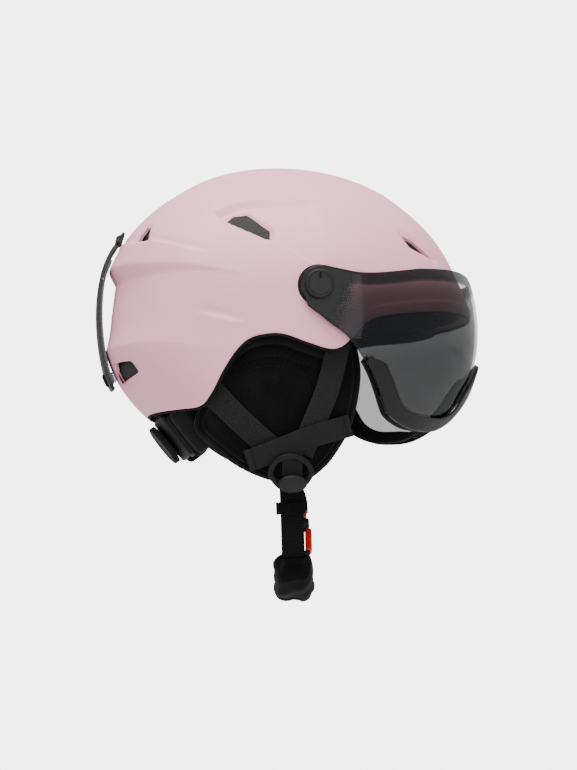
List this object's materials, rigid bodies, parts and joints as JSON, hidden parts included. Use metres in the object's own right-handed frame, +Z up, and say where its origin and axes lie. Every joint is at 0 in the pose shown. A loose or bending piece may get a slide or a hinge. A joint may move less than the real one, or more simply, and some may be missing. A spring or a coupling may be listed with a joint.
{
  "type": "ski helmet",
  "caption": "Ski helmet with a domed vented shell, flip-up wraparound visor on side knobs, padded ear flaps, chin strap with side-release buckle, rear fit dial and goggle clip.",
  "frame": {"origin": "centre of the head opening, where the wearer's head enters", "axes": "+Z up through the crown, -Y the way the wearer faces, -X the wearer's right"},
  "size_m": [0.2304, 0.2988, 0.3322],
  "materials": {
    "shell": "matte pale pink paint on moulded shell",
    "foam": "black expanded foam",
    "rubber": "matt black rubber",
    "net": "black net",
    "lining": "black brushed knit",
    "fleece": "black short-pile fleece",
    "webbing": "black ribbed webbing",
    "elastic": "black plain elastic band",
    "nylon": "satin black nylon",
    "knob": "satin black, finely turned face",
    "dial": "matt black with a knurled rim",
    "steel": "plated",
    "lens": "smoke tinted polycarbonate",
    "seal": "black soft foam",
    "red": "red",
    "clip": "dark grey elastic rubber"
  },
  "bodies": {
    "helmet": {"outer_shell": "shell", "eps_liner": "foam", "edge_trim": "rubber", "vent_net_top_right": "net", "vent_net_top_left": "net", "vent_net_front_right": "net", "vent_net_front_left": "net", "vent_net_rear_top": "net", "vent_net_rear_low": "net", "crown_pad": "lining", "brow_pad": "lining", "side_pad_right": "lining", "side_pad_left": "lining", "ear_pad_right": "fleece", "ear_pad_left": "fleece", "ear_band_right": "elastic", "ear_band_left": "elastic", "front_strap_right": "webbing", "front_strap_left": "webbing", "rear_strap_right": "webbing", "rear_strap_left": "webbing", "strap_divider_right": "nylon", "strap_divider_left": "nylon", "divider_cap_right": "nylon", "divider_cap_left": "nylon", "strap_rivet_right": "steel", "strap_rivet_left": "steel", "pivot_base_right": "nylon", "pivot_base_left": "nylon", "fit_housing": "nylon", "neck_cradle": "nylon", "neck_pad": "fleece", "cradle_hanger_right": "nylon", "cradle_hanger_left": "nylon", "band_guide_right": "nylon", "band_guide_left": "nylon", "clip_anchor": "nylon", "clip_stud": "steel"},
    "visor": {"visor_lens": "lens", "visor_trim": "nylon", "visor_seal": "seal", "visor_hub_right": "nylon", "visor_hub_left": "nylon"},
    "knob_right": {"knob_right": "knob"},
    "knob_left": {"knob_left": "knob"},
    "dial": {"fit_dial": "dial", "dial_pinion": "nylon"},
    "band_right": {"fit_band_right": "nylon"},
    "band_left": {"fit_band_left": "nylon"},
    "chin_loop": {"chin_strap_right": "webbing", "chin_strap_left": "webbing", "chin_pad": "fleece", "chin_pad_cover": "fleece", "buckle_body": "nylon", "buckle_tongue": "red", "strap_keeper": "rubber"},
    "tab_front": {"release_tab_front": "red"},
    "tab_rear": {"release_tab_rear": "red"},
    "goggle_clip": {"goggle_clip": "clip", "clip_button": "steel"}
  },
  "joints": [
    {"name": "visor_flip", "type": "hinge", "parent": "helmet", "child": "visor", "pos_m": [0, -0.016, 0.062], "axis": [-1, 0, 0], "range_deg": [0, 60]},
    {"name": "knob_right_turn", "type": "hinge", "parent": "helmet", "child": "knob_right", "pos_m": [-0.1112, -0.016, 0.062], "axis": [-1, 0, 0], "range_deg": [0, 90]},
    {"name": "knob_left_turn", "type": "hinge", "parent": "helmet", "child": "knob_left", "pos_m": [0.1112, -0.016, 0.062], "axis": [1, 0, 0], "range_deg": [0, 90]},
    {"name": "dial_turn", "type": "hinge", "parent": "helmet", "child": "dial", "pos_m": [0, 0.08781, -0.04652], "axis": [0, 0.7776, -0.6287], "range_deg": [0, 150]},
    {"name": "band_right_draw", "type": "hinge", "parent": "helmet", "child": "band_right", "pos_m": [0, 0.02, 0.0083], "axis": [0, 0.6287, 0.7776], "range_deg": [-9.4, 0]},
    {"name": "band_left_draw", "type": "hinge", "parent": "helmet", "child": "band_left", "pos_m": [0, 0.02, 0.0083], "axis": [0, 0.6287, 0.7776], "range_deg": [0, 9.4]},
    {"name": "chin_swing", "type": "hinge", "parent": "helmet", "child": "chin_loop", "pos_m": [0, -0.005, -0.078], "axis": [1, 0, 0], "range_deg": [-15, 15]},
    {"name": "tab_front_press", "type": "slide", "parent": "chin_loop", "child": "tab_front", "axis": [0.017, 0.9994, 0.0305], "range_m": [0, 0.002], "stiffness_N_per_m": 500},
    {"name": "tab_rear_press", "type": "slide", "parent": "chin_loop", "child": "tab_rear", "axis": [-0.017, -0.9994, -0.0305], "range_m": [0, 0.002], "stiffness_N_per_m": 500},
    {"name": "clip_swing", "type": "hinge", "parent": "helmet", "child": "goggle_clip", "pos_m": [0, 0.1262, 0.1105], "axis": [1, 0, 0], "range_deg": [0, 75]}
  ],
  "couplings": [
    {"joint": "band_right_draw", "follows": "dial_turn", "ratio": -0.0625},
    {"joint": "band_left_draw", "follows": "dial_turn", "ratio": 0.0625}
  ]
}
